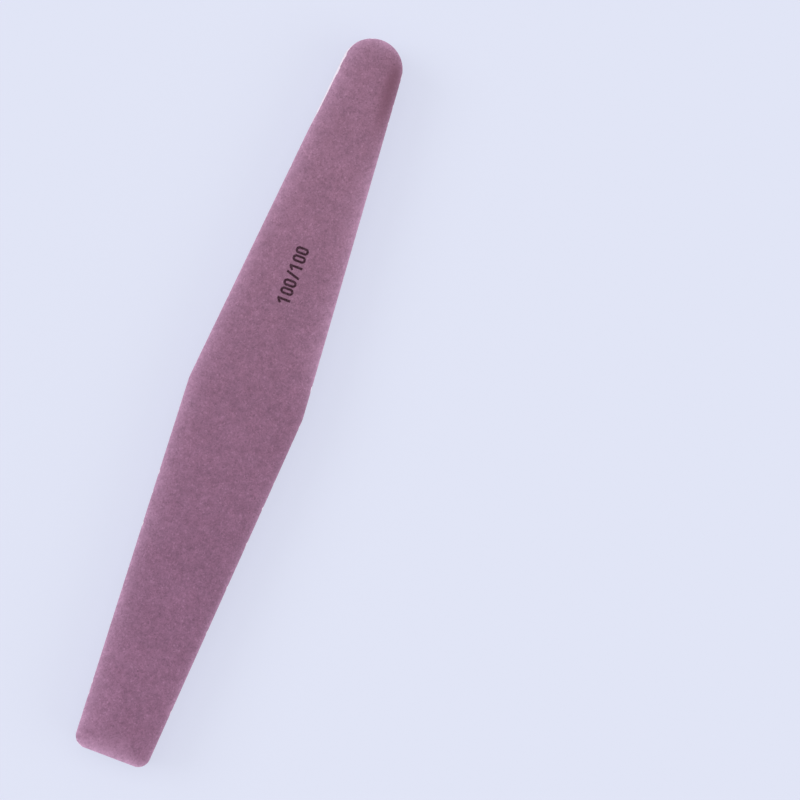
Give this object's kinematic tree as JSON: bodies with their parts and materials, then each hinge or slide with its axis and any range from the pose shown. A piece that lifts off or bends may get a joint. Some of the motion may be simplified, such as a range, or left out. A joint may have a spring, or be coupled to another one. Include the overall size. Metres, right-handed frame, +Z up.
{
  "type": "nail buffer",
  "caption": "Flat diamond-shaped nail buffer board: stiff plastic core between two foam layers, each faced with an abrasive sheet, one end rounded and the other blunt.",
  "frame": {"origin": "centre of the board's bounding box at the bottom, on the flat of the lower abrasive face", "axes": "+X along the board towards its narrow round end, +Y across its width, +Z up through its thickness"},
  "size_m": [0.178, 0.0282, 0.012],
  "materials": {
    "core_plastic": "satin",
    "adhesive_film": "gloss",
    "purple_foam": "matte",
    "backing_paper": "matte",
    "mauve_grit": "matte"
  },
  "bodies": {
    "root": {"core_plate": "core_plastic", "upper_core_adhesive": "adhesive_film", "lower_core_adhesive": "adhesive_film", "upper_foam": "purple_foam", "lower_foam": "purple_foam", "upper_face_adhesive": "adhesive_film", "lower_face_adhesive": "adhesive_film", "upper_abrasive_backing": "backing_paper", "lower_abrasive_backing": "backing_paper", "upper_grit_coat": "mauve_grit", "lower_grit_coat": "mauve_grit"}
  },
  "joints": []
}
